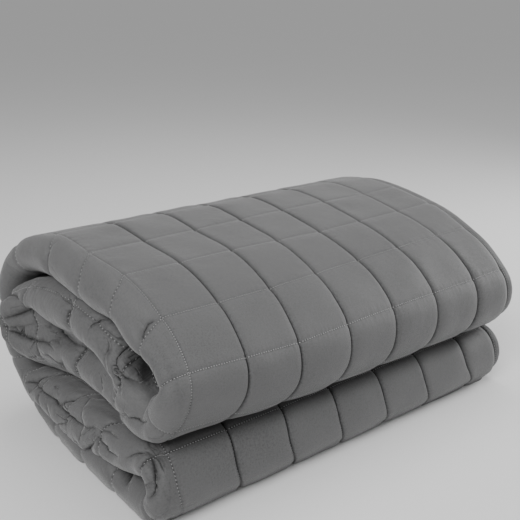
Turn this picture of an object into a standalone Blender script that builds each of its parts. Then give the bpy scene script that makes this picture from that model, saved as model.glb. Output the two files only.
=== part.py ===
"""Weighted blanket, 1.35 m x 2.0 m, quilted in 90 mm squares and folded for storage.

The blanket is folded in half across its width, so that the fold's nose is at the left and
the hems lie together at the right.  The doubled strip is then folded again: both of its ends
are turned in over the front, and the whole is closed like a book, with the spine at the back.
Its section, seen from the right, is one back-and-forth line of four doubled layers.

Axes: X runs along the front from the fold's nose to the hems, Y to the back, Z up.
The origin is under the middle of the blanket, on the surface that it lies on.  Metres.
"""

from math import cos, pi, radians, sin

import bmesh
import bpy
import numpy as np

# ---------------------------------------------------------------- the blanket laid flat
WIDTH = 1.350
LENGTH = 2.000
COLUMNS = 15                  # squares across the width
ROWS = 22                     # squares along the length
CELL = WIDTH / COLUMNS        # one quilted square, from seam to seam across the width
CELL_LONG = LENGTH / ROWS     # the same along the length
HEM = 0.018                   # turned hem, and its line of stitching

THICK_CROWN = 0.0225          # in the middle of a square
THICK_ROW_SEAM = 0.0105       # at a seam across the length, the softer dip
THICK_COLUMN_SEAM = 0.0060    # at a seam along the length, the sharper groove
THICK_HEM = 0.0055
CROWN_EDGE = 0.18             # where a square's crown begins, as a share of the square
CROWN_FLAT = 3                # how flat the crown is, and how narrow the grooves between crowns

# ---------------------------------------------------------------- the fold's section
# Round turns of the doubled strip's middle line: centre, half depth and half height,
# the angles swept, half the distance between the strip's two cloths, how far the inner cloth
# bulges off the outer one at the nose, and how far the strip lies towards the hems.
TURNS = {
    "upper front": dict(y=-0.1692, z=0.1706, ry=0.0414, rz=0.0410, start=270, end=132, steps=7,
                        spread=0.0121, bulge=0.010, shift=0.004),
    "lower front": dict(y=-0.1638, z=0.0519, ry=0.0297, rz=0.0293, start=270, end=90, steps=7,
                        spread=0.0121, bulge=0.000, shift=0.001),
}
# Runs between the turns: points of the middle line (y, z), with the same three distances.
RUNS = {
    "second layer": (
        dict(y=0.1710, z=0.1460, spread=0.0230, bulge=0.028, shift=-0.052),
        dict(y=0.1200, z=0.1515, spread=0.0350, bulge=0.051, shift=-0.048),
        dict(y=0.0600, z=0.1580, spread=0.0370, bulge=0.058, shift=-0.042),
        dict(y=0.0000, z=0.1600, spread=0.0350, bulge=0.057, shift=-0.036),
        dict(y=-0.0630, z=0.1530, spread=0.0280, bulge=0.052, shift=-0.028),
        dict(y=-0.1215, z=0.1359, spread=0.0175, bulge=0.036, shift=-0.014),
    ),
    "top layer": (
        dict(y=-0.1615, z=0.2325, spread=0.0130, bulge=0.008, shift=0.002),
        dict(y=-0.1332, z=0.2465, spread=0.0148, bulge=0.004, shift=0.001),
        dict(y=-0.0801, z=0.2650, spread=0.0188, bulge=-0.002, shift=0.000),
        dict(y=-0.0054, z=0.2750, spread=0.0246, bulge=-0.015, shift=0.000),
        dict(y=0.0540, z=0.2820, spread=0.0253, bulge=-0.016, shift=-0.001),
    ),
    "spine": (
        dict(y=0.1000, z=0.2840, spread=0.0245, bulge=-0.014, shift=-0.004),
        dict(y=0.1480, z=0.2780, spread=0.0195, bulge=-0.006, shift=-0.009),
        dict(y=0.1850, z=0.2590, spread=0.0155, bulge=0.000, shift=-0.013),
        dict(y=0.2070, z=0.2210, spread=0.0140, bulge=0.003, shift=-0.018),
        dict(y=0.2150, z=0.1750, spread=0.0140, bulge=0.005, shift=-0.019),
        dict(y=0.2130, z=0.1250, spread=0.0140, bulge=0.005, shift=-0.017),
        dict(y=0.2000, z=0.0800, spread=0.0138, bulge=0.008, shift=-0.011),
        dict(y=0.1720, z=0.0430, spread=0.0138, bulge=0.004, shift=-0.003),
        dict(y=0.1240, z=0.0245, spread=0.0134, bulge=0.003, shift=-0.001),
    ),
    "bottom layer": (
        dict(y=0.0500, z=0.0225, spread=0.0124, bulge=0.004, shift=-0.003),
        dict(y=-0.0250, z=0.0225, spread=0.0124, bulge=0.004, shift=-0.003),
        dict(y=-0.1050, z=0.0225, spread=0.0124, bulge=0.004, shift=-0.003),
    ),
    "third layer": (
        dict(y=-0.1080, z=0.0814, spread=0.0124, bulge=0.006, shift=-0.004),
        dict(y=-0.0360, z=0.0834, spread=0.0138, bulge=0.006, shift=-0.010),
        dict(y=0.0360, z=0.0830, spread=0.0146, bulge=0.006, shift=-0.015),
        dict(y=0.0855, z=0.0810, spread=0.0140, bulge=0.006, shift=-0.018),
        dict(y=0.1300, z=0.0830, spread=0.0125, bulge=0.004, shift=-0.021),
        dict(y=0.1650, z=0.0930, spread=0.0110, bulge=0.002, shift=-0.024),
    ),
}

FRONT_SEAM = 5 * CELL_LONG     # length from the tucked end to the seam on the upper front
FRONT_SEAM_AT = (-0.2138, 0.2124)    # where that seam lies, (y, z)
INNER_EASE = 0.862            # the cloth on the inside of the turns is puckered shorter

# ---------------------------------------------------------------- the nose at the left
# How each layer lies at the nose: how far the nose reaches out past the straight part, how
# deep the two pleats are that run along it, how far the cloth bunched up behind the first
# pleat stands into the layer, and the length that a metre of its cloth takes up.
LAYERS = (
    dict(fold="second layer", reach=0.034, pleat_1=0.019, pleat_2=0.006, bunch=0.055,
         ease=1.055),
    dict(fold="upper front", reach=0.016, pleat_1=0.000, pleat_2=0.000, bunch=0.000,
         ease=1.00),
    dict(fold="top layer", reach=0.022, pleat_1=0.000, pleat_2=0.000, bunch=0.000,
         ease=1.00),
    dict(fold="spine", reach=0.020, pleat_1=0.000, pleat_2=0.000, bunch=0.000,
         ease=1.00),
    dict(fold="bottom layer", reach=0.014, pleat_1=0.000, pleat_2=0.000, bunch=0.000,
         ease=1.00),
    dict(fold="lower front", reach=0.012, pleat_1=0.000, pleat_2=0.000, bunch=0.000,
         ease=1.00),
    dict(fold="third layer", reach=0.020, pleat_1=0.000, pleat_2=0.000, bunch=0.000,
         ease=0.94),
)
PLACE_COLUMNS = ("spread", "bulge", "shift")
LAYER_COLUMNS = ("reach", "pleat_1", "pleat_2", "bunch", "ease")
PLEATS_AT = (radians(0), radians(46))    # where the pleats lie, as angles round the nose
PLEAT_SPREAD = radians(17)
BUNCH_SPREAD = radians(20)
PLEAT_ROOM = 0.030            # a nose of this half height has no room for a pleat
BULGE_FADE = 0.14             # width over which the bulge dies away on the inner cloth
TUCK_START = 0.665            # the inner cloth slips along the outer one from here ...
TUCK_WIDTH = 0.180            # ... over this width

FLOOR_PRESS = 0.0068          # cloth this close to the surface is pressed flat on it

# ---------------------------------------------------------------- the corner loops
LOOP_WIDTH = 0.012
LOOP_TAPE = 0.0012            # thickness of the tape
LOOP_OUT = 0.016              # how far it stands out past the hem
LOOP_ON = 0.009               # how much of it is sewn on the hem
LOOP_BEND = 0.0016            # radius of its bend, to the middle of the tape
LOOP_GAP = 0.0010             # clear of the hem that it is sewn on, which curves under it
LOOP_FROM_END = 0.012         # from the blanket's end to the middle of the loop

GREY = (0.150, 0.150, 0.153, 1.0)
TAPE_GREY = (0.140, 0.140, 0.143, 1.0)
ROUGHNESS = 0.78

SPLINE_STEPS = 24             # points of the middle line between two stations
NORMAL_STEP = 0.0015          # the cloth's slope is taken over this length
BEND_POINTS = 9               # points round the bend of a loop
SHARP_EDGE = radians(50)


def clear_scene():
    for thing in list(bpy.data.objects):
        bpy.data.objects.remove(thing, do_unlink=True)


def cloth_material(name, colour):
    material = bpy.data.materials.new(name)
    material.use_nodes = True
    shader = material.node_tree.nodes["Principled BSDF"]
    shader.inputs["Base Color"].default_value = colour
    shader.inputs["Roughness"].default_value = ROUGHNESS
    shader.inputs["Metallic"].default_value = 0.0
    return material


# ---------------------------------------------------------------- the section's middle line
def turn_points(turn):
    """Points round a turn, in the order in which the strip passes them."""
    angles = np.radians(np.linspace(turn["start"], turn["end"], turn["steps"]))
    y = turn["y"] + turn["ry"] * np.cos(angles)
    z = turn["z"] + turn["rz"] * np.sin(angles)
    rest = [turn[column] for column in PLACE_COLUMNS]
    return [(a, b, *rest) for a, b in zip(y, z)]


def section_stations():
    """Rows of y, z, then PLACE_COLUMNS and LAYER_COLUMNS, along the strip."""
    rows = []
    for layer in LAYERS:
        name = layer["fold"]
        if name in TURNS:
            points = turn_points(TURNS[name])
        else:
            points = [(p["y"], p["z"], *(p[c] for c in PLACE_COLUMNS)) for p in RUNS[name]]
        for point in points:
            rows.append((*point, *(layer[column] for column in LAYER_COLUMNS)))
    return np.array(rows)


def smooth_line(stations, steps):
    """A centripetal Catmull-Rom curve through the stations, all columns together."""
    first = 2 * stations[0] - stations[1]
    last = 2 * stations[-1] - stations[-2]
    points = np.vstack([first, stations, last])
    curve = []
    for k in range(1, len(points) - 2):
        p = points[k - 1:k + 3]
        chords = np.sqrt(np.linalg.norm(np.diff(p[:, :2], axis=0), axis=1))
        t0, t1, t2, t3 = np.concatenate([[0.0], np.cumsum(chords)])
        for t in np.linspace(t1, t2, steps, endpoint=False):
            a1 = ((t1 - t) * p[0] + (t - t0) * p[1]) / (t1 - t0)
            a2 = ((t2 - t) * p[1] + (t - t1) * p[2]) / (t2 - t1)
            a3 = ((t3 - t) * p[2] + (t - t2) * p[3]) / (t3 - t2)
            b1 = ((t2 - t) * a1 + (t - t0) * a2) / (t2 - t0)
            b2 = ((t3 - t) * a2 + (t - t1) * a3) / (t3 - t1)
            curve.append(((t2 - t) * b1 + (t - t1) * b2) / (t2 - t1))
    curve.append(stations[-1])
    return np.array(curve)


def smooth(t):
    t = np.clip(t, 0.0, 1.0)
    return t * t * (3 - 2 * t)


def run_length(line, ease):
    """Length of cloth along a line, more where the cloth is eased in."""
    steps = np.linalg.norm(np.diff(line, axis=0), axis=1) / ease[1:]
    return np.concatenate([[0.0], np.cumsum(steps)])


class Fold:
    """Carries a point of the flat blanket to its place in the folded one."""

    def __init__(self):
        curve = smooth_line(section_stations(), SPLINE_STEPS)
        self.line = curve[:, :2]
        self.spread, self.bulge, self.shift = curve[:, 2:5].T
        self.reach, *self.pleats, self.bunch, ease = curve[:, 5:].T
        along = np.gradient(self.line, axis=0)
        along /= np.linalg.norm(along, axis=1)[:, None]
        self.out = np.stack([-along[:, 1], along[:, 0]], axis=1)
        self.step = np.arange(len(curve), dtype=float)
        # Lengths along the outer cloth's face and along the inner cloth's middle.
        face = self.line + self.out * (self.spread + THICK_ROW_SEAM / 2)[:, None]
        inner = self.line - self.out * self.spread[:, None]
        seam = np.argmin(np.linalg.norm(face - np.array(FRONT_SEAM_AT), axis=1))
        outer_length = run_length(face, ease)
        self.outer_v = outer_length - outer_length[seam] + FRONT_SEAM
        middle = np.interp(LENGTH / 2, self.outer_v, self.step)
        inner_length = run_length(inner, ease * INNER_EASE)
        inner_middle = np.interp(middle, self.step, inner_length)
        self.inner_v = inner_length - inner_middle + LENGTH / 2

    def place(self, u, v):
        """Where (u, v) lies along the middle line, and how the values there are read."""
        slip = smooth((u - TUCK_START) / TUCK_WIDTH)
        outer_step = np.interp(v, self.outer_v, self.step)
        inner_step = np.interp(v, self.inner_v, self.step)
        at = (1 - slip) * outer_step + slip * inner_step
        return lambda values: np.interp(at, self.step, values)

    def nose(self, u, read):
        """The nose is half an ellipse: the outer cloth stays, the inner one bulges off it.

        Returns the bulge, the nose's half height, the length of cloth from its tip to its
        end, and the angle round it.
        """
        beyond = u - WIDTH / 2
        bulge = read(self.bulge) * (1 - smooth((beyond - CELL / 2) / BULGE_FADE))
        half = read(self.spread) + bulge / 2
        quarter = pi / 2 * np.sqrt((half ** 2 + read(self.reach) ** 2) / 2)
        turn = np.clip(beyond / quarter, -1.0, 1.0) * pi / 2
        return bulge, half, quarter, turn

    def __call__(self, u, v):
        """The middle of the cloth, for u across the width and v along the length."""
        read = self.place(u, v)
        bulge, half, quarter, turn = self.nose(u, read)
        x = np.maximum(np.abs(u - WIDTH / 2), quarter) - read(self.reach) * np.cos(turn)
        room = smooth((half - PLEAT_ROOM) / PLEAT_ROOM)
        for depth, angle in zip(self.pleats, PLEATS_AT):
            x = x + read(depth) * room * np.exp(-((turn - angle) / PLEAT_SPREAD) ** 2)
        x = x + read(self.shift)
        offset = -bulge / 2 - half * np.sin(turn)
        ny, nz = read(self.out[:, 0]), read(self.out[:, 1])
        size = np.hypot(ny, nz)
        y = read(self.line[:, 0]) + offset * ny / size
        z = read(self.line[:, 1]) + offset * nz / size
        return np.stack([x, y, z], axis=-1)

    def bunched(self, u, v):
        """How far the bunched cloth stands in from the middle of the cloth."""
        read = self.place(u, v)
        half, turn = self.nose(u, read)[1::2]
        room = smooth((half - PLEAT_ROOM) / PLEAT_ROOM)
        return read(self.bunch) * room * np.exp(-(turn / BUNCH_SPREAD) ** 2)

    def normal(self, u, v, step=NORMAL_STEP):
        """Unit normal of the middle surface, towards the outer face."""
        across = self(u + step, v) - self(u - step, v)
        along = self(u, np.minimum(v + step, LENGTH)) - self(u, np.maximum(v - step, 0.0))
        n = np.cross(along, across)
        return n / np.linalg.norm(n, axis=-1)[..., None]


# ---------------------------------------------------------------- the quilting
def dome(t):
    """0 at both seams of a square and 1 in its middle."""
    return 1 - np.clip(1 - 4 * t * (1 - t), 0.0, 1.0) ** CROWN_FLAT


def place_in_cell(w, cell, count):
    """Where w lies between its two seams, the first and last of which are hems."""
    index = np.clip(np.floor(w / cell + 1e-9), 0, count - 1)
    low = np.maximum(index * cell, HEM)
    high = np.minimum((index + 1) * cell, cell * count - HEM)
    return np.clip((w - low) / (high - low), 0.0, 1.0)


def half_thickness(u, v):
    column_dip = THICK_COLUMN_SEAM / THICK_CROWN
    row_dip = THICK_ROW_SEAM / THICK_CROWN
    across = column_dip + (1 - column_dip) * dome(place_in_cell(u, CELL, COLUMNS))
    along = row_dip + (1 - row_dip) * dome(place_in_cell(v, CELL_LONG, ROWS))
    half = THICK_CROWN / 2 * across * along
    from_edge = np.minimum(np.minimum(u, WIDTH - u), np.minimum(v, LENGTH - v))
    return np.where(from_edge < HEM + 1e-6, THICK_HEM / 2, np.maximum(half, THICK_HEM / 2))


def seam_lines(cell, count, finer):
    """Lines of the mesh along one side: both hems, every seam, and lines between them.

    finer gives, for each square, how many steps lie between its seams.
    """
    lines = [0.0]
    total = cell * count
    for k in range(count):
        low = max(k * cell, HEM)
        high = min((k + 1) * cell, total - HEM)
        steps = finer(k)
        inner = np.linspace(low, high, steps + 1)
        if steps == 3:
            inner[1] = low + (high - low) * CROWN_EDGE
            inner[2] = high - (high - low) * CROWN_EDGE
        lines.extend(inner[:-1])
    lines.extend([total - HEM, total])
    return np.array(lines)


def steps_across(square):
    """The outer half is seen; the squares at the fold's nose are bent; the rest is within."""
    nose = COLUMNS // 2
    if square == nose:
        return 7
    if abs(square - nose) == 1:
        return 4
    return 3 if square < nose else 2


def steps_along(square):
    """More steps where the strip turns, fewer where it is tucked in or lies below."""
    hidden = (0, 1, 2, 12, 13, 14, 15, 16, 19, 20, 21)
    front_turns = (3, 4, 17, 18)
    if square in front_turns:
        return 4
    return 2 if square in hidden else 3


def floor_pressed(z):
    """Cloth close to the surface lies flat on it."""
    eased = np.maximum(0.0, 2.0 * (z - FLOOR_PRESS))
    return np.where(z < 2 * FLOOR_PRESS, eased, z)


def lay_on(verts, face):
    """Moves the verts of a unit grid to the points of a face of the blanket."""
    last_i, last_j = face.shape[0] - 1, face.shape[1] - 1
    for vert in verts:
        i = round((vert.co.x + 0.5) * last_i)
        j = round((vert.co.y + 0.5) * last_j)
        vert.co = face[i, j]


def build_blanket(fold, material):
    """One closed, quilted sheet: a grid, extruded to its two faces and folded."""
    across = seam_lines(CELL, COLUMNS, steps_across)
    along = seam_lines(CELL_LONG, ROWS, steps_along)
    u, v = np.meshgrid(across, along, indexing="ij")
    middle = fold(u, v)
    normal = fold.normal(u, v)
    half = half_thickness(u, v)
    outer = middle + normal * half[..., None]
    inner = middle - normal * half[..., None]
    inner[..., 0] += fold.bunched(u, v)
    for face in (outer, inner):
        face[..., 2] = floor_pressed(face[..., 2])

    bm = bmesh.new()
    bmesh.ops.create_grid(bm, x_segments=len(across) - 1, y_segments=len(along) - 1, size=0.5)
    grid = list(bm.verts)
    grown = bmesh.ops.extrude_face_region(bm, geom=bm.faces[:])
    lay_on(grid, inner)
    lay_on([item for item in grown["geom"] if isinstance(item, bmesh.types.BMVert)], outer)
    bmesh.ops.recalc_face_normals(bm, faces=bm.faces[:])
    return finish_object("blanket", bm, material)


# ---------------------------------------------------------------- the corner loops
def loop_profile():
    """Outline of a folded tape seen from its side: x out past the hem, z off the cloth."""
    half = LOOP_TAPE / 2
    outline = [(-LOOP_ON, LOOP_GAP)]
    centre = (LOOP_OUT - LOOP_BEND - half, LOOP_GAP + half + LOOP_BEND)
    for angle in np.linspace(-90, 90, BEND_POINTS):
        outline.append((centre[0] + (LOOP_BEND + half) * cos(radians(angle)),
                        centre[1] + (LOOP_BEND + half) * sin(radians(angle))))
    top = centre[1] + LOOP_BEND + half
    outline.append((-LOOP_ON, top))
    outline.append((-LOOP_ON, top - LOOP_TAPE))
    for angle in np.linspace(90, -90, BEND_POINTS):
        outline.append((centre[0] + (LOOP_BEND - half) * cos(radians(angle)),
                        centre[1] + (LOOP_BEND - half) * sin(radians(angle))))
    outline.append((-LOOP_ON, LOOP_GAP + LOOP_TAPE))
    return outline


def build_loop(name, fold, side_u, end_v, material):
    """A folded tape sewn on the side hem, close to a corner of the blanket."""
    u = np.array(side_u)
    v = np.array(end_v)
    edge = fold(u, v)
    out = np.array([1.0, 0.0, 0.0])
    normal = fold.normal(u, v)
    normal = normal - out * float(np.dot(normal, out))
    normal /= np.linalg.norm(normal)
    run = np.cross(normal, out)
    base = edge + normal * THICK_HEM / 2
    bm = bmesh.new()
    verts = []
    for x, z in loop_profile():
        verts.append(bm.verts.new(base + out * x + normal * z - run * LOOP_WIDTH / 2))
    face = bm.faces.new(verts)
    grown = bmesh.ops.extrude_face_region(bm, geom=[face])
    moved = [item for item in grown["geom"] if isinstance(item, bmesh.types.BMVert)]
    bmesh.ops.translate(bm, verts=moved, vec=run * LOOP_WIDTH)
    bmesh.ops.recalc_face_normals(bm, faces=bm.faces[:])
    return finish_object(name, bm, material)


def finish_object(name, bm, material):
    mesh = bpy.data.meshes.new(name)
    bm.to_mesh(mesh)
    bm.free()
    mesh.materials.append(material)
    mesh.shade_smooth()
    mesh.set_sharp_from_angle(angle=SHARP_EDGE)
    thing = bpy.data.objects.new(name, mesh)
    bpy.context.scene.collection.objects.link(thing)
    return thing


def centre_on_origin(things):
    """Puts the middle of everything over the origin, and its lowest point on z = 0."""
    corners = np.array([vert.co[:] for thing in things for vert in thing.data.vertices])
    low, high = corners.min(axis=0), corners.max(axis=0)
    move = (-(low[0] + high[0]) / 2, -(low[1] + high[1]) / 2, -low[2])
    for thing in things:
        for vert in thing.data.vertices:
            vert.co.x += move[0]
            vert.co.y += move[1]
            vert.co.z += move[2]


def main():
    clear_scene()
    cloth = cloth_material("quilted_grey_cloth", GREY)
    tape = cloth_material("loop_tape", TAPE_GREY)
    fold = Fold()
    things = [build_blanket(fold, cloth)]
    corners = (
        ("corner_loop_1", 0.0, LOOP_FROM_END),
        ("corner_loop_2", WIDTH, LOOP_FROM_END),
        ("corner_loop_3", 0.0, LENGTH - LOOP_FROM_END),
        ("corner_loop_4", WIDTH, LENGTH - LOOP_FROM_END),
    )
    for name, side_u, end_v in corners:
        things.append(build_loop(name, fold, side_u, end_v, tape))
    centre_on_origin(things)


main()
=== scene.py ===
"""Looks of the folded weighted blanket: one quilted cloth, its stitching and corner loops.

Metres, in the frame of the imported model: X from the fold's nose to the hems, Y back, Z up.
"""

from math import cos, pi, radians, sin

import bmesh
import bpy
import numpy as np
from mathutils import Matrix, Vector, noise


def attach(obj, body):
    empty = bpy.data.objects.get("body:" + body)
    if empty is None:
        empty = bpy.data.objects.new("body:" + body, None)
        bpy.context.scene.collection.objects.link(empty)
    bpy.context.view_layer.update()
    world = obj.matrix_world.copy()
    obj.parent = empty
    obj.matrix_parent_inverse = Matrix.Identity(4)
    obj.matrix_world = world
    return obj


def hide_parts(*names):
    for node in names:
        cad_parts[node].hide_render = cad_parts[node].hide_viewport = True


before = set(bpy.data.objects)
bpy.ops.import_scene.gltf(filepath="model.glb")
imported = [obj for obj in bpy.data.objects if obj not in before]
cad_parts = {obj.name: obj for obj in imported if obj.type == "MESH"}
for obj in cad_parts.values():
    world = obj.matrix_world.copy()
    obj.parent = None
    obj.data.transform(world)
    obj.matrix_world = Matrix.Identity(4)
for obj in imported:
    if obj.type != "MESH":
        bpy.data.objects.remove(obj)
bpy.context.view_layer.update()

# ---------------------------------------------------------------- the camera
# Where the photograph was taken from, fitted to the crossings of the quilting's seams.
CAMERA_AT = (-0.7467, -0.9531, 0.6545)
CAMERA_ALONG = (0.5861, 0.7444, -0.3200)
CAMERA_RIGHT = (0.7857, -0.6187, 0.0)
LENS_MM = 55.38
SENSOR_MM = 36.0


def aim_camera():
    data = bpy.data.cameras.new("camera")
    data.lens = LENS_MM
    data.sensor_width = SENSOR_MM
    data.clip_start = 0.05
    camera = bpy.data.objects.new("camera", data)
    bpy.context.scene.collection.objects.link(camera)
    along = Vector(CAMERA_ALONG).normalized()
    right = Vector(CAMERA_RIGHT).normalized()
    turn = Matrix((right, right.cross(along), -along)).transposed()
    camera.matrix_world = Matrix.Translation(Vector(CAMERA_AT)) @ turn.to_4x4()
    bpy.context.scene.camera = camera


aim_camera()

# ---------------------------------------------------------------- the blanket laid flat
WIDTH = 1.350
LENGTH = 2.000
COLUMNS = 15
ROWS = 22
CELL = WIDTH / COLUMNS
CELL_LONG = LENGTH / ROWS
HEM = 0.018
FOLD_LINE = WIDTH / 2
# The fold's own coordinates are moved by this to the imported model's.
MOVE = np.array((-0.32584, -0.00315, 0.0))

THICK_CROWN = 0.0225          # in the middle of a square
THIN_SEAM = 0.0036            # nowhere thinner than this
# How far each face dips from a square's middle to its seams: broadly, and in the narrow
# groove along the stitching, with the groove's width.
COLUMN_DIP, COLUMN_GROOVE, COLUMN_GROOVE_WIDE = 0.0011, 0.0050, 0.0016
ROW_DIP, ROW_GROOVE, ROW_GROOVE_WIDE = 0.0006, 0.0012, 0.0022
NOSE_DIP, NOSE_GROOVE, NOSE_GROOVE_WIDE = 0.0010, 0.0032, 0.0034
FRONT_DIP = 0.0030            # broadly, on the upper front, where the squares are rounder
GROOVE_AT_NOSE = 0.28         # share of the column grooves' depth left beside the nose
THICK_HEM = 0.0088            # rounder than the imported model's
HEM_ROUND = 0.0060            # width over which the hem's edge is rounded off
HEM_SQUASH = 0.85             # how nearly the edge is rounded down to nothing
HEM_RISE = 0.014              # width over which the cloth rises inside the hem
HEM_GROOVE = 0.0036           # how deep the cloth sinks at the hem's inner edge, on each face
HEM_GROOVE_WIDE = 0.0022
HEM_STITCH = 0.0142           # from the edge to the hem's line of stitching

# Stretches of the cloth's length: where each begins, is full, is full to, and ends.
FRONT_STRETCH = (0.31, 0.35, 0.43, 0.47)
FOOT_STRETCH = (1.42, 1.47, 1.54, 1.58)
LOWER_STRETCH = (0.98, 1.05, 1.50, 1.58)
TOP_STRETCH = (0.42, 0.48, 0.93, 0.98)
SLACK_STRETCH = (0.47, 0.55, 0.93, 1.00)
SMOOTH_STRETCH = (0.31, 0.38, 1.50, 1.58)

# Small forms on the outer face: their heights, and how much more on the crumpled nose.
FILLING = 0.0022              # how unevenly the squares are filled
DENT, DENT_CRUMPLED = 0.0003, 0.0003
PUCKER, PUCKER_CRUMPLED = 0.0004, 0.0008
PUCKER_OFF = 0.006            # from a seam to the middle of its puckers, and their width
BROAD_FACET, FINE_FACET = 0.0028, 0.0009
NEAR_SEAM = 0.016             # the filling's unevenness fades out this near to a seam

# ---------------------------------------------------------------- the fold's section
# Round turns of the doubled strip's middle line, and the runs between them, as in the
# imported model: points (y, z), half the distance between the strip's two cloths, how far
# the inner cloth bulges off the outer one at the nose, and how far the strip lies towards
# the hems.
TURNS = {
    "upper front": dict(y=-0.1692, z=0.1706, ry=0.0414, rz=0.0410, start=270, end=132, steps=7,
                        spread=0.0121, bulge=0.010, shift=0.004),
    "lower front": dict(y=-0.1638, z=0.0519, ry=0.0297, rz=0.0293, start=270, end=90, steps=7,
                        spread=0.0121, bulge=0.000, shift=0.001),
}
# Runs between the turns: rows of y, z and the same three distances, spread, bulge and shift.
RUNS = {
    "second layer": (
        (0.1710, 0.1460, 0.0230, 0.028, -0.052),
        (0.1200, 0.1515, 0.0350, 0.051, -0.048),
        (0.0600, 0.1580, 0.0370, 0.058, -0.042),
        (0.0000, 0.1600, 0.0350, 0.057, -0.036),
        (-0.0630, 0.1530, 0.0280, 0.052, -0.028),
        (-0.1215, 0.1359, 0.0175, 0.036, -0.014),
    ),
    "top layer": (
        (-0.1615, 0.2325, 0.0130, 0.008, 0.002),
        (-0.1332, 0.2465, 0.0148, 0.004, 0.001),
        (-0.0801, 0.2650, 0.0188, -0.002, 0.000),
        (-0.0054, 0.2750, 0.0246, -0.015, 0.000),
        (0.0540, 0.2820, 0.0253, -0.016, -0.001),
    ),
    "spine": (
        (0.1000, 0.2840, 0.0245, -0.014, -0.004),
        (0.1480, 0.2780, 0.0195, -0.006, -0.009),
        (0.1850, 0.2590, 0.0155, 0.000, -0.013),
        (0.2070, 0.2210, 0.0140, 0.003, -0.018),
        (0.2150, 0.1750, 0.0140, 0.005, -0.019),
        (0.2130, 0.1250, 0.0140, 0.005, -0.017),
        (0.2000, 0.0800, 0.0138, 0.008, -0.011),
        (0.1720, 0.0430, 0.0138, 0.004, -0.003),
        (0.1240, 0.0245, 0.0134, 0.003, -0.001),
    ),
    "bottom layer": (
        (0.0500, 0.0225, 0.0124, 0.004, -0.003),
        (-0.0250, 0.0225, 0.0124, 0.004, -0.003),
        (-0.1050, 0.0225, 0.0124, 0.004, -0.003),
    ),
    "third layer": (
        (-0.1080, 0.0814, 0.0124, 0.006, -0.004),
        (-0.0360, 0.0834, 0.0138, 0.006, -0.010),
        (0.0360, 0.0830, 0.0146, 0.006, -0.015),
        (0.0855, 0.0810, 0.0140, 0.006, -0.018),
        (0.1300, 0.0830, 0.0125, 0.004, -0.021),
        (0.1650, 0.0930, 0.0110, 0.002, -0.024),
    ),
}

FRONT_SEAM = 5 * CELL_LONG     # length from the tucked end to the seam on the upper front
FRONT_SEAM_AT = (-0.2138, 0.2124)    # where that seam lies, (y, z)
INNER_EASE = 0.862            # the cloth on the inside of the turns is puckered shorter

# ---------------------------------------------------------------- the nose at the left
# How each layer lies at the nose: how far the nose reaches out past the straight part, how
# deep the two pleats are that run along it, how far the cloth bunched up behind the first
# pleat stands into the layer, and the length that a metre of its cloth takes up.
def layer(fold, reach, pleat_1=0.0, pleat_2=0.0, bunch=0.0, ease=1.0):
    return dict(fold=fold, reach=reach, pleat_1=pleat_1, pleat_2=pleat_2, bunch=bunch, ease=ease)


LAYERS = (
    layer("second layer", 0.034, pleat_1=0.019, pleat_2=0.006, bunch=0.055, ease=1.055),
    layer("upper front", 0.016),
    layer("top layer", 0.022),
    layer("spine", 0.020),
    layer("bottom layer", 0.014),
    layer("lower front", 0.012),
    layer("third layer", 0.020, ease=0.94),
)
PLACE_COLUMNS = ("spread", "bulge", "shift")
LAYER_COLUMNS = ("reach", "pleat_1", "pleat_2", "bunch", "ease")
PLEATS_AT = (radians(0), radians(46))    # where the pleats lie, as angles round the nose
PLEAT_SPREAD = radians(17)
BUNCH_SPREAD = radians(20)
PLEAT_ROOM = 0.030            # a nose of this half height has no room for a pleat
BULGE_FADE = 0.14             # width over which the bulge dies away on the inner cloth
TUCK_START = 0.665            # the inner cloth slips along the outer one from here ...
TUCK_WIDTH = 0.180            # ... over this width

END_OUT, LOW_END_OUT = 0.011, 0.021    # how far the upper and lower bundle's hems lie out
ENDS_FROM, ENDS_OVER = 0.19, 0.15      # where that begins, and the width over which it grows
LOW_BUNDLE, LOW_OVER = 0.09, 0.06      # the height up to which the bundle is the lower one
FLOOR_PRESS = 0.0068          # cloth this close to the surface is pressed flat on it
FACE_OFF = 0.00525            # the face that lengths are taken along, off the cloth's middle
SPLINE_STEPS = 24             # points of the middle line between two stations
NORMAL_STEP = 0.0015          # the cloth's slope is taken over this length
# How far the sewn pattern is pulled askew on the folded cloth, at places v along it and
# PULLED_AT across it: towards the nose, and along the length.
PULLED_AT = np.array((0.0, 0.09, 0.27, 0.45, 0.63, 0.665, 0.70, 0.78))
STRAIGHT = (0,) * len(PULLED_AT)


def pulled(v, across=STRAIGHT, along=STRAIGHT):
    return dict(v=v, across=across, along=along)


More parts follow.
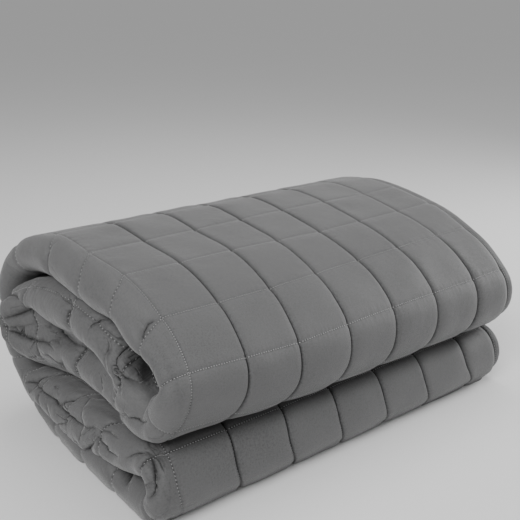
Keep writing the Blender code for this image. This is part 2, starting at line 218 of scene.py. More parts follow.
PULLED = (
    pulled(0.0000),
    pulled(0.0909, along=(0, 0, 0, 0, -.030, -.040, -.040, 0)),
    pulled(0.1818, along=(0, 0, 0, 0, -.030, -.029, -.029, 0)),
    pulled(0.2727, along=(0, 0, 0, 0, -.020, -.022, -.022, 0)),
    pulled(0.3500, across=(0, .008, .018, .024, .020, .01, 0, 0)),
    pulled(0.4050, across=(0, .004, .010, .012, .010, 0, 0, 0)),
    pulled(0.4545, across=(0, -.002, .001, .006, 0, 0, 0, 0),
           along=(.004, .002, .001, -.004, 0, 0, 0, 0)),
    pulled(0.5454, across=(0, .003, .003, -.002, -.008, 0, 0, 0),
           along=(.005, .005, -.001, -.007, -.006, -.028, -.040, -.02)),
    pulled(0.6363, across=(0, .015, .013, -.002, -.005, 0, 0, 0),
           along=(-.002, -.008, -.013, -.006, -.005, -.048, -.055, -.03)),
    pulled(0.7272, across=(0, .015, .014, .008, .005, 0, 0, 0),
           along=(-.013, -.018, -.013, -.018, -.020, -.060, -.066, -.03)),
    pulled(0.8181, across=(0, .011, .008, .002, .003, 0, 0, 0),
           along=(-.010, -.012, -.010, -.012, -.014, -.060, -.070, -.03)),
    pulled(0.9090, along=(0, 0, 0, 0, 0, -.045, -.050, -.02)),
    pulled(1.0000, along=(0, 0, 0, 0, 0, -.010, -.010, 0)),
    pulled(1.1000),
    pulled(1.5000),
    pulled(1.5454, across=(0, -.028, -.016, -.012, .004, 0, 0, 0),
           along=(.006, .007, .002, -.003, .004, .004, 0, 0)),
    pulled(1.6000, across=(0, -.002, .004, .013, .018, 0, 0, 0),
           along=(.010, .010, .010, .008, .008, .012, .01, 0)),
    pulled(1.6363, across=(0, -.004, .001, .006, .014, 0, 0, 0),
           along=(.016, .016, .016, .015, .014, .020, .02, .01)),
    pulled(1.7272, across=(0, 0, 0, .004, .010, 0, 0, 0),
           along=(.008, .008, .008, .008, .012, .042, .04, .01)),
    pulled(1.8181, along=(0, 0, 0, 0, .02, .045, .04, .01)),
    pulled(1.9090, along=(0, 0, 0, 0, .02, .040, .04, .01)),
    pulled(2.0000),
)
SEAM_CROWDING = 0.70          # how much closer the mesh's lines stand at the seams ...
STEPS_MANY = 20               # ... of a square with fewer lines than this ...
MANY_CROWDING = 0.15          # ... and of one with as many or more

# ---------------------------------------------------------------- colours and stitching
WEAVE_PITCH = 0.0011
# Painted shade in the quilting's grooves: how strong it is, and its width at the seams and at
# the hem's inner edge.
GROOVE_SHADE, GROOVE_SHADE_WIDE = 0.95, 0.0013
HEM_SHADE_WIDE = 0.0024
HOLE_SHADE, HOLE_WIDE = 0.5, 0.0011    # painted shade in the needle holes between the stitches
CREASE_LINE = 0.30            # width of a crease's painted dark line of shade, as a share of the crease's
FAR_OFF = 9.0                 # a crease's line widths to a point that isn't near one
DARK_DEPTH = 0.011            # a crease this deep would get wholly dark painted shade ...
DARK_LEAST, DARK_MOST = 0.45, 0.95     # ... within these bounds
SHARP_SHADE = 0.30            # how dark the painted shade on the broken crease lines of the crumpled nose is
TAPE_RIB = 0.0008
# Greys of the cloth, darkest to lightest: its tone varies at random, and painted shade draws it
# towards the darkest.
CLOTH_DARK, CLOTH_GREY, CLOTH_LIGHT = 0.014, 0.085, 0.125
TAPE_DARK, TAPE_LIGHT = 0.065, 0.095
THREAD_GREY = 0.33
STITCH_PITCH = 0.0040         # coarser than the photograph's, for a lighter mesh
STITCH_LONG = 0.0024
STITCH_THICK = 0.0011
STITCH_PROUD = 0.0002
STITCHED_TO = 0.774           # the seams further in are hidden in the fold

# ---------------------------------------------------------------- floor and light
FLOOR_HALF = 60.0
FLOOR_GREY = 0.78
WORLD_STRENGTH = 0.46
LIGHTS = (
    dict(name="overhead", power=21.0, size=(1.8, 1.6), at=(0.5, 0.2, 2.3), aim=(0.0, 0.0, 0.1)),
    dict(name="right_end", power=22.0, size=(0.8, 0.8), at=(1.9, -0.55, 0.85),
         aim=(0.33, -0.18, 0.2)),
    dict(name="left", power=74.0, size=(1.4, 1.4), at=(-2.1, -1.2, 2.1), aim=(-0.2, 0.0, 0.15)),
)


# ---------------------------------------------------------------- the section's middle line
def turn_points(turn):
    """Points round a turn, in the order in which the strip passes them."""
    angles = np.radians(np.linspace(turn["start"], turn["end"], turn["steps"]))
    y = turn["y"] + turn["ry"] * np.cos(angles)
    z = turn["z"] + turn["rz"] * np.sin(angles)
    rest = [turn[column] for column in PLACE_COLUMNS]
    return [(a, b, *rest) for a, b in zip(y, z)]


def section_stations():
    """Rows of y, z, then PLACE_COLUMNS and LAYER_COLUMNS, along the strip."""
    rows = []
    for layer in LAYERS:
        name = layer["fold"]
        for point in turn_points(TURNS[name]) if name in TURNS else RUNS[name]:
            rows.append((*point, *(layer[column] for column in LAYER_COLUMNS)))
    return np.array(rows)


def smooth_line(stations, steps):
    """A centripetal Catmull-Rom curve through the stations, all columns together."""
    first = 2 * stations[0] - stations[1]
    last = 2 * stations[-1] - stations[-2]
    points = np.vstack([first, stations, last])
    curve = []
    for k in range(1, len(points) - 2):
        p = points[k - 1:k + 3]
        chords = np.sqrt(np.linalg.norm(np.diff(p[:, :2], axis=0), axis=1))
        t0, t1, t2, t3 = np.concatenate([[0.0], np.cumsum(chords)])
        for t in np.linspace(t1, t2, steps, endpoint=False):
            a1 = ((t1 - t) * p[0] + (t - t0) * p[1]) / (t1 - t0)
            a2 = ((t2 - t) * p[1] + (t - t1) * p[2]) / (t2 - t1)
            a3 = ((t3 - t) * p[2] + (t - t2) * p[3]) / (t3 - t2)
            b1 = ((t2 - t) * a1 + (t - t0) * a2) / (t2 - t0)
            b2 = ((t3 - t) * a2 + (t - t1) * a3) / (t3 - t1)
            curve.append(((t2 - t) * b1 + (t - t1) * b2) / (t2 - t1))
    curve.append(stations[-1])
    return np.array(curve)


def smooth(t):
    t = np.clip(t, 0.0, 1.0)
    return t * t * (3 - 2 * t)


def run_length(line, ease):
    """Length of cloth along a line, more where the cloth is eased in."""
    steps = np.linalg.norm(np.diff(line, axis=0), axis=1) / ease[1:]
    return np.concatenate([[0.0], np.cumsum(steps)])


class Fold:
    """Carries a point of the flat blanket to its place in the folded one."""

    def __init__(self):
        curve = smooth_line(section_stations(), SPLINE_STEPS)
        self.line = curve[:, :2]
        self.spread, self.bulge, self.shift = curve[:, 2:5].T
        self.reach, *self.pleats, self.bunch, ease = curve[:, 5:].T
        along = np.gradient(self.line, axis=0)
        along /= np.linalg.norm(along, axis=1)[:, None]
        self.out = np.stack([-along[:, 1], along[:, 0]], axis=1)
        self.step = np.arange(len(curve), dtype=float)
        # Lengths along the outer cloth's face and along the inner cloth's middle.
        face = self.line + self.out * (self.spread + FACE_OFF)[:, None]
        inner = self.line - self.out * self.spread[:, None]
        seam = np.argmin(np.linalg.norm(face - np.array(FRONT_SEAM_AT), axis=1))
        outer_length = run_length(face, ease)
        self.outer_v = outer_length - outer_length[seam] + FRONT_SEAM
        middle = np.interp(LENGTH / 2, self.outer_v, self.step)
        inner_length = run_length(inner, ease * INNER_EASE)
        inner_middle = np.interp(middle, self.step, inner_length)
        self.inner_v = inner_length - inner_middle + LENGTH / 2

    def place(self, u, v):
        """Where (u, v) lies along the middle line, and how the values there are read."""
        slip = smooth((u - TUCK_START) / TUCK_WIDTH)
        outer_step = np.interp(v, self.outer_v, self.step)
        inner_step = np.interp(v, self.inner_v, self.step)
        at = (1 - slip) * outer_step + slip * inner_step
        return lambda values: np.interp(at, self.step, values)

    def nose(self, u, read):
        """The nose is half an ellipse: the outer cloth stays, the inner one bulges off it.

        Returns the bulge, the nose's half height, the length of cloth from its tip to its
        end, and the angle round it.
        """
        beyond = u - WIDTH / 2
        bulge = read(self.bulge) * (1 - smooth((beyond - CELL / 2) / BULGE_FADE))
        half = read(self.spread) + bulge / 2
        quarter = pi / 2 * np.sqrt((half ** 2 + read(self.reach) ** 2) / 2)
        turn = np.clip(beyond / quarter, -1.0, 1.0) * pi / 2
        return bulge, half, quarter, turn

    def __call__(self, u, v):
        """The middle of the cloth, for u across the width and v along the length."""
        read = self.place(u, v)
        bulge, half, quarter, turn = self.nose(u, read)
        x = np.maximum(np.abs(u - WIDTH / 2), quarter) - read(self.reach) * np.cos(turn)
        room = smooth((half - PLEAT_ROOM) / PLEAT_ROOM)
        for depth, angle in zip(self.pleats, PLEATS_AT):
            x = x + read(depth) * room * np.exp(-((turn - angle) / PLEAT_SPREAD) ** 2)
        x = x + read(self.shift)
        offset = -bulge / 2 - half * np.sin(turn)
        ny, nz = read(self.out[:, 0]), read(self.out[:, 1])
        size = np.hypot(ny, nz)
        y = read(self.line[:, 0]) + offset * ny / size
        z = read(self.line[:, 1]) + offset * nz / size
        return np.stack([x, y, z], axis=-1)

    def bunched(self, u, v):
        """How far the bunched cloth stands in from the middle of the cloth."""
        read = self.place(u, v)
        half, turn = self.nose(u, read)[1::2]
        room = smooth((half - PLEAT_ROOM) / PLEAT_ROOM)
        return read(self.bunch) * room * np.exp(-(turn / BUNCH_SPREAD) ** 2)

    def normal(self, u, v):
        """Unit normal of the middle surface, towards the outer face."""
        across = self(u + NORMAL_STEP, v) - self(u - NORMAL_STEP, v)
        along = (self(u, np.minimum(v + NORMAL_STEP, LENGTH))
                 - self(u, np.maximum(v - NORMAL_STEP, 0.0)))
        n = np.cross(along, across)
        return n / np.linalg.norm(n, axis=-1)[..., None]


# ---------------------------------------------------------------- the quilting
def seam_distance(w, cell):
    """Distance to the nearest seam."""
    return np.abs((w / cell + 0.5) % 1.0 - 0.5) * cell


def place_in_cell(w, cell, count):
    """Where w lies between its two seams, the first and last of which are hems."""
    index = np.clip(np.floor(w / cell + 1e-9), 0, count - 1)
    low = np.maximum(index * cell, HEM)
    high = np.minimum((index + 1) * cell, cell * count - HEM)
    return np.clip((w - low) / (high - low), 0.0, 1.0)


def on_nose(u):
    """1 on the fold's nose, 0 on the flat of the layers."""
    return 1 - smooth((np.abs(u - FOLD_LINE) - 0.022) / 0.030)


def fading(t, low, high):
    return smooth((t - low) / (high - low))


def on_stretch(v, stretch):
    """1 on a stretch of the cloth's length, 0 off it, with soft ends."""
    begins, full, full_to, ends = stretch
    return fading(v, begins, full) * (1 - fading(v, full_to, ends))


def slack(u, v):
    """1 where the seams lie flat and faint, near the hems on the top layer; else 0."""
    return (1 - fading(u, 0.12, 0.24)) * on_stretch(v, SLACK_STRETCH)


def half_thickness(u, v):
    """Half the cloth's thickness: each square is a low pillow with narrow grooves round it."""
    nose = on_nose(u)
    square_u = place_in_cell(u, CELL, COLUMNS)
    square_v = place_in_cell(v, CELL_LONG, ROWS)
    beside_nose = np.exp(-(np.maximum(np.abs(u - FOLD_LINE) - CELL / 2, 0.0) / 0.03) ** 4)
    front = on_stretch(v, FRONT_STRETCH)
    column = 1 - (1 - GROOVE_AT_NOSE) * beside_nose
    column = column * (1 - 0.4 * on_stretch(v, FOOT_STRETCH)) * (1 - 0.6 * slack(u, v))
    dip = (COLUMN_DIP + (FRONT_DIP - COLUMN_DIP) * front) * np.abs(2 * square_u - 1) ** 4
    dip = dip + COLUMN_GROOVE * np.exp(-seam_distance(u, CELL) / COLUMN_GROOVE_WIDE)
    half = THICK_CROWN / 2 - dip * column
    row_dip = ROW_DIP + (NOSE_DIP - ROW_DIP) * nose
    pressed = 1 - 0.7 * on_stretch(v, LOWER_STRETCH) - 0.4 * on_stretch(v, TOP_STRETCH)
    row_groove = ROW_GROOVE + (NOSE_GROOVE - ROW_GROOVE) * nose * pressed
    row_wide = ROW_GROOVE_WIDE + (NOSE_GROOVE_WIDE - ROW_GROOVE_WIDE) * nose
    half = half - row_dip * np.abs(2 * square_v - 1) ** 4
    half = half - row_groove * np.exp(-seam_distance(v, CELL_LONG) / row_wide)
    half = np.maximum(half, THIN_SEAM / 2)
    from_edge = np.minimum(np.minimum(u, WIDTH - u), np.minimum(v, LENGTH - v))
    from_hem = np.clip((from_edge - HEM) / HEM_RISE, 0.0, 1.0)
    low = THICK_HEM / 2 - HEM_GROOVE
    half = low + (half - low) * np.sqrt(1 - (1 - from_hem) ** 2)
    rounded = np.clip(from_edge / HEM_ROUND, 0.0, 1.0)
    hem = THICK_HEM / 2 * np.sqrt(1 - (1 - rounded) ** 2 * HEM_SQUASH)
    hem = hem - HEM_GROOVE * np.exp(-np.abs(from_edge - HEM) / HEM_GROOVE_WIDE)
    return np.where(from_edge < HEM, hem, half)


def curve_through(at, places, values):
    """Cubic curve through rows of values at the places, read at each point of at."""
    slopes = np.gradient(values, places, axis=0)
    k = np.clip(np.searchsorted(places, at) - 1, 0, len(places) - 2)
    width = places[k + 1] - places[k]
    t = np.clip((at - places[k]) / width, 0.0, 1.0)
    t, width = t[..., None], width[..., None]
    return ((1 + 2 * t) * (1 - t) ** 2 * values[k] + t * (1 - t) ** 2 * width * slopes[k]
            + t ** 2 * (3 - 2 * t) * values[k + 1] + t ** 2 * (t - 1) * width * slopes[k + 1])


def eased(u, v):
    """Where the sewn pattern's (u, v) lies on the folded cloth, which is pulled askew."""
    places = np.array([line["v"] for line in PULLED])
    at = np.clip(np.searchsorted(PULLED_AT, u) - 1, 0, len(PULLED_AT) - 2)
    s = np.clip((u - PULLED_AT[at]) / (PULLED_AT[at + 1] - PULLED_AT[at]), 0.0, 1.0)
    moved = []
    for name in ("across", "along"):
        rows = curve_through(v, places, np.array([line[name] for line in PULLED], dtype=float))
        low = np.take_along_axis(rows, at[..., None], axis=-1)[..., 0]
        high = np.take_along_axis(rows, at[..., None] + 1, axis=-1)[..., 0]
        moved.append(low * (1 - s) + high * s)
    return u + moved[0], v + moved[1]


def lumps(u, v, size, seed):
    """Smooth noise over the flat cloth, about -1 to 1."""
    flat = [noise.noise((a / size, b / size, seed)) for a, b in zip(u.ravel(), v.ravel())]
    return np.array(flat).reshape(u.shape)


def ridges(u, v, size, seed):
    """Noise with sharp valleys, 0 in the valleys."""
    return np.minimum(np.abs(lumps(u, v, size, seed)) / 0.35, 1.0) - 0.6


def crumpled(u, v):
    """1 where the nose is crumpled between the layers, 0 on the flat cloth and the top layer."""
    wide = 1 - smooth((np.abs(u - FOLD_LINE) - 0.030) / 0.045)
    return wide * (1 - 0.85 * on_stretch(v, SMOOTH_STRETCH))


def relief(u, v):
    """Small forms that stand on the outer face: uneven filling, puckers and crumples."""
    to_column = seam_distance(u, CELL)
    to_row = seam_distance(v, CELL_LONG)
    inside = np.clip(np.minimum(to_column, to_row) / NEAR_SEAM, 0.0, 1.0)
    crumple = crumpled(u, v)
    height = FILLING * lumps(u, v, 0.060, 3.1) * inside
    height += (DENT + DENT_CRUMPLED * crumple) * lumps(u, v, 0.021, 8.7) * inside
    column_pucker = np.exp(-((to_column - PUCKER_OFF) / PUCKER_OFF) ** 2)
    row_pucker = np.exp(-((to_row - PUCKER_OFF) / PUCKER_OFF) ** 2)
    pucker = PUCKER + PUCKER_CRUMPLED * crumple
    height += pucker * lumps(u * 0.35, v, 0.011, 5.5) * column_pucker
    height += pucker * lumps(u, v * 0.35, 0.011, 1.9) * row_pucker
    height += BROAD_FACET * crumple * ridges(u * 1.5, v * 0.6, 0.050, 12.3)
    height += FINE_FACET * crumple * ridges(u * 1.4, v * 0.8, 0.026, 7.7)
    return height


# ---------------------------------------------------------------- creases, listed one by one
def crease(depth, width, *points, core=0.0, dark=None):
    """How deep and wide a crease is and the points (u, v) of its line on the folded cloth,
    with half the width of its floor, and how dark the painted shade along it is, 0 to 1."""
    if dark is None:
        dark = min(max(depth / DARK_DEPTH, DARK_LEAST), DARK_MOST)
    return dict(depth=depth, width=width, points=np.array(points), core=core, dark=dark)


CREASES = (
    # top layer, at its fourth seam
    crease(.0050, .0035, (.655, .765), (.666, .762), (.674, .759), (.688, .758)),
    # top layer, at its first seam
    crease(.0060, .0045, (.633, .538), (.644, .536), (.653, .528), (.661, .518)),
    # second layer, its tip
    crease(.0080, .0040, (.722, .006), (.717, .021), (.705, .040), (.701, .048)),
    # second layer, between its lobes
    crease(.0180, .0055, (.688, .010), (.688, .029), (.689, .046), (.690, .066), (.683, .082),
           (.673, .090), (.668, .104), (.665, .132), (.667, .153)),
    # second layer, branch down
    crease(.0080, .0040, (.668, .156), (.660, .157), (.652, .153)),
    # second layer, soft branch
    crease(.0110, .0060, (.668, .156), (.674, .180), (.682, .205), (.674, .218)),
    # second layer, slit
    crease(.0150, .0042, (.695, .238), (.691, .242), (.690, .254), (.688, .268)),
    # second layer, round the hollow
    crease(.0090, .0035, (.737, .246), (.726, .243), (.711, .237), (.703, .238), (.699, .244),
           (.701, .261), (.708, .280)),
    # second layer, the hollow, its floor filled with the darkest painted shade
    crease(.0100, .0140, (.735, .252), (.730, .262), (.726, .270), (.722, .283), (.722, .296),
           core=.0080, dark=1.0),
    # second layer, pucker
    crease(.0080, .0035, (.731, .211), (.723, .203), (.712, .198), (.706, .196)),
    # second layer, at its seam
    crease(.0060, .0045, (.731, .151), (.715, .155), (.703, .158), (.690, .160)),
    # second layer, lower lobe's end
    crease(.0060, .0030, (.670, .032), (.666, .028), (.661, .034)),
    # second layer, lower lobe
    crease(.0110, .0050, (.675, .007), (.668, .014), (.663, .027), (.658, .041), (.656, .053),
           (.657, .083), (.654, .099)),
    # second layer, lower lobe, short
    crease(.0050, .0030, (.656, .050), (.648, .045)),
    # second layer, lower lobe, long
    crease(.0080, .0040, (.648, .123), (.637, .112), (.625, .100)),
    # second layer, lower lobe, middle
    crease(.0080, .0030, (.650, .158), (.642, .158), (.630, .160)),
    # second layer, lower slit
    crease(.0080, .0025, (.662, .209), (.656, .222)),
    # second layer, along its foot
    crease(.0100, .0045, (.640, .205), (.645, .232), (.656, .261), (.670, .284)),
    # second layer, hook
    crease(.0080, .0030, (.681, .283), (.676, .283), (.672, .287), (.680, .307), (.677, .356)),
    # third layer, at its last seam
    crease(.0080, .0035, (.667, 1.970), (.657, 1.960), (.650, 1.950), (.640, 1.946)),
    # third layer, at its next seam
    crease(.0080, .0035, (.670, 1.892), (.660, 1.867), (.656, 1.857), (.650, 1.854)),
    # third layer, along its nose
    crease(.0120, .0045, (.674, 1.990), (.665, 1.968), (.667, 1.948), (.667, 1.919),
           (.670, 1.885), (.672, 1.860), (.671, 1.830), (.670, 1.800), (.665, 1.781)),
    # third layer, towards the front
    crease(.0110, .0045, (.672, 1.779), (.674, 1.752), (.678, 1.734), (.675, 1.713)),
    # third layer, below its nose
    crease(.0060, .0030, (.694, 1.905), (.686, 1.889), (.677, 1.853)),
    # third layer, slit
    crease(.0110, .0035, (.704, 1.826), (.692, 1.804), (.677, 1.776)),
    # third layer, lower slit
    crease(.0070, .0030, (.712, 1.905), (.700, 1.880), (.690, 1.868)),
    # lower front, hollow, its floor filled with the darkest painted shade
    crease(.0160, .0050, (.698, 1.452), (.690, 1.462), (.683, 1.487), core=.0020, dark=1.0),
    # lower front, side of the thumb
    crease(.0100, .0040, (.660, 1.658), (.663, 1.639), (.670, 1.610), (.675, 1.595)),
    # lower front, top of the thumb
    crease(.0070, .0030, (.672, 1.692), (.666, 1.679), (.661, 1.663)),
    # lower front, by the corner
    crease(.0050, .0040, (.657, 1.673), (.647, 1.655)),
)
# Pushes on the folded cloth: middle (u, v), how wide and long, and how far (x, y, z).
PUSHES = (
    # upper front's foot at the nose
    dict(u=.645, v=.385, wide=.11, long=.060, by=(.003, .008, .013)),
    # second layer's upper lobe
    dict(u=.716, v=.120, wide=.034, long=.110, by=(-.018, .000, .013)),
    # second layer's lower lobe
    dict(u=.648, v=.130, wide=.024, long=.110, by=(-.006, .000, .000)),
    # second layer's tip
    dict(u=.690, v=.000, wide=.05, long=.070, by=(-.011, .010, .004)),
    # second layer, the hollow
    dict(u=.731, v=.268, wide=.015, long=.023, by=(.056, .026, -.006)),
    # lower front, the hollow
    dict(u=.690, v=1.466, wide=.008, long=.014, by=(.020, .010, .003)),
    # third layer's lower lobe
    dict(u=.702, v=1.840, wide=.026, long=.110, by=(-.009, .000, -.022)),
    # top layer's nose, beside the hollow
    dict(u=.704, v=.480, wide=.038, long=.048, by=(.024, -.016, .007)),
    # top layer's nose, above the hollow
    dict(u=.700, v=.575, wide=.036, long=.060, by=(.012, -.004, .010)),
)


def line_distance(u, v, points):
    """Distance to a line of points, how far along it the nearest place is (0 to 1), and the
    side on which a point lies (-1 or 1)."""
    runs = np.linalg.norm(np.diff(points, axis=0), axis=1)
    total, before = runs.sum(), 0.0
    best = np.full(u.shape, 1.0)
    along, side = np.zeros(u.shape), np.ones(u.shape)
    for start, end, run in zip(points[:-1], points[1:], runs):
        du, dv = (end - start) / run
        off_u, off_v = u - start[0], v - start[1]
        t = np.clip(off_u * du + off_v * dv, 0.0, run)
        far = np.hypot(off_u - du * t, off_v - dv * t)
        nearer = far < best
        best = np.where(nearer, far, best)
        along = np.where(nearer, (before + t) / total, along)
        side = np.where(nearer, np.where(off_u * dv > off_v * du, 1.0, -1.0), side)
        before += run
    return best, along, side


def creases(u, v):
    """How deep the creases are; and, for the nearest crease, how many line widths off its
    line a point is, with a sign for the side, and how dark its painted shade is there, 0 to 1."""
    depth, shade = np.zeros(u.shape), np.zeros(u.shape)
    off, nearest = np.full(u.shape, FAR_OFF), np.full(u.shape, 1.0)
    for line in CREASES:
        far, along, side = line_distance(u, v, line["points"])
        fade = np.sqrt(np.clip(np.sin(pi * np.clip(along, 0.03, 0.97)), 0.0, 1.0))
        far = np.maximum(far - line["core"], 0.0)
        depth += line["depth"] * fade * np.exp(-far / line["width"])
        near = np.exp(-(far / max(0.0050, 1.3 * line["width"])) ** 2)
        nearer = far < nearest
        nearest = np.where(nearer, far, nearest)
        off = np.where(nearer, side * far / (CREASE_LINE * line["width"]), off)
        shade = np.where(nearer, fade * line["dark"] * near, shade)
    return depth, off, shade


# ---------------------------------------------------------------- the blanket's mesh
STEPS_ACROSS = {"outer": 13, "beside": 16, "nose": 30, "next": 16, "inner": 3}
STEPS_ALONG = 22
BACK_FACE_STRIDE = 4          # the hidden face keeps every fourth line of the mesh
EDGE_LINES = (0.0, 0.0010, 0.0030, 0.0065, 0.0110, 0.0150)     # lines of the mesh on a hem


def cell_steps(square):
    nose = COLUMNS // 2
    if square == nose:
        return STEPS_ACROSS["nose"]
    if square == nose - 1:
        return STEPS_ACROSS["beside"]
    if square == nose + 1:
        return STEPS_ACROSS["next"]
    return STEPS_ACROSS["outer"] if square < nose else STEPS_ACROSS["inner"]


def mesh_lines(cell, count, steps_of):
    """Lines of the mesh along one side, closer together at the seams."""
    total = cell * count
    lines = list(EDGE_LINES)
    for square in range(count):
        low, high = max(square * cell, HEM), min((square + 1) * cell, total - HEM)
        s = np.linspace(0.0, 1.0, steps_of(square) + 1)[:-1]
        crowding = SEAM_CROWDING if steps_of(square) < STEPS_MANY else MANY_CROWDING
        lines.extend(low + (high - low) * (s - crowding * np.sin(2 * pi * s) / (2 * pi)))
    lines.append(total - HEM)
    lines.extend(total - edge for edge in reversed(EDGE_LINES))
    return np.array(lines)


def floor_pressed(z):
    """Cloth close to the surface lies flat on it."""
    eased = np.maximum(0.0, 2.0 * (z - FLOOR_PRESS))
    return np.where(z < 2 * FLOOR_PRESS, eased, z)


def settled(points):
    """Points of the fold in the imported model's place, the hems' ends drawn out a little."""
    points = points + MOVE
    x, z = points[..., 0], points[..., 2]
    low = 1 - smooth((z - LOW_BUNDLE) / LOW_OVER)
    out = END_OUT + (LOW_END_OUT - END_OUT) * low
    points[..., 0] = x + smooth((x - ENDS_FROM) / ENDS_OVER) * out
    return points


def blanket_faces(fold, u, v):
    """Points of the cloth's outer and inner face and its normal, at the sewn pattern's (u, v),
    with how far off a crease they are and how dark its painted shade is, as creases() says."""
    at = eased(u, v)
    middle = fold(*at)
    normal = fold.normal(*at)
    half = half_thickness(u, v)
    depth, off, shade = creases(*at)
    outer = middle + normal * (half + relief(u, v) - depth)[..., None]
    inner = middle - normal * half[..., None]
    inner[..., 0] += fold.bunched(*at)
    for push in PUSHES:
        share = np.exp(-((at[0] - push["u"]) / push["wide"]) ** 2
                       - ((at[1] - push["v"]) / push["long"]) ** 2)
        outer += share[..., None] * push["by"]
        inner += share[..., None] * push["by"]
    for face in (outer, inner):
        face[..., 2] = floor_pressed(face[..., 2])
    return settled(outer), settled(inner), normal, off, shade


def mesh_of(bm, name):
    mesh = bpy.data.meshes.new(name)
    bm.to_mesh(mesh)
    bm.free()
    return mesh


def link(name, mesh, material):
    mesh.materials.append(material)
    mesh.shade_smooth()
    thing = bpy.data.objects.new(name, mesh)
    bpy.context.scene.collection.objects.link(thing)
    return thing


def thin_back_face(bm, last_i, last_j):
    """Dissolves most lines of the face that lies within the fold."""
    for axis, last in ((0, last_i), (1, last_j)):
        gone = []
        for edge in bm.edges:
            a, b = edge.verts
            line = round((a.co[axis] + 0.5) * last)
            if a.co.z > 0.5 and b.co.z > 0.5 and abs(a.co[axis] - b.co[axis]) < 0.2 / last \
                    and line % BACK_FACE_STRIDE and line not in (0, last):
                gone.append(edge)
        bmesh.ops.dissolve_edges(bm, edges=gone, use_verts=True)


def build_blanket(fold, material):
    across = mesh_lines(CELL, COLUMNS, cell_steps)
    along = mesh_lines(CELL_LONG, ROWS, lambda square: STEPS_ALONG)
    last_i, last_j = len(across) - 1, len(along) - 1
    bm = bmesh.new()
    bmesh.ops.create_grid(bm, x_segments=last_i, y_segments=last_j, size=0.5)
    grown = bmesh.ops.extrude_face_region(bm, geom=bm.faces[:])
    moved = [item for item in grown["geom"] if isinstance(item, bmesh.types.BMVert)]
    bmesh.ops.translate(bm, verts=moved, vec=(0.0, 0.0, 1.0))
    bmesh.ops.recalc_face_normals(bm, faces=bm.faces[:])
    thin_back_face(bm, last_i, last_j)
    mesh = mesh_of(bm, "quilted_blanket")

    flat = np.empty(len(mesh.vertices) * 3)
    mesh.vertices.foreach_get("co", flat)
    flat = flat.reshape(-1, 3)
    i = np.rint((flat[:, 0] + 0.5) * last_i).astype(int)
    j = np.rint((flat[:, 1] + 0.5) * last_j).astype(int)
    u, v = np.meshgrid(across, along, indexing="ij")
    outer, inner, _, off, shade = blanket_faces(fold, u, v)
    is_outer = flat[:, 2] < 0.5
    places = np.where(is_outer[:, None], outer[i, j], inner[i, j])
    mesh.vertices.foreach_set("co", places.ravel())
    corner = np.empty(len(mesh.loops), dtype=int)
    mesh.loops.foreach_get("vertex_index", corner)
    layer = mesh.uv_layers.new(name="flat_cloth")
    layer.data.foreach_set("uv", np.stack([across[i], along[j]], axis=1)[corner].ravel())
    for name, values, hidden in (("crease_off", off, FAR_OFF), ("crease_shade", shade, 0.0),
                                 ("crumpled", crumpled(u, v), 0.0),
                                 ("slack", slack(u, v), 0.0)):
        layer = mesh.attributes.new(name, "FLOAT", "POINT")
        layer.data.foreach_set("value", np.where(is_outer, values[i, j], hidden))
    mesh.update()
    return link("quilted_blanket", mesh, material)


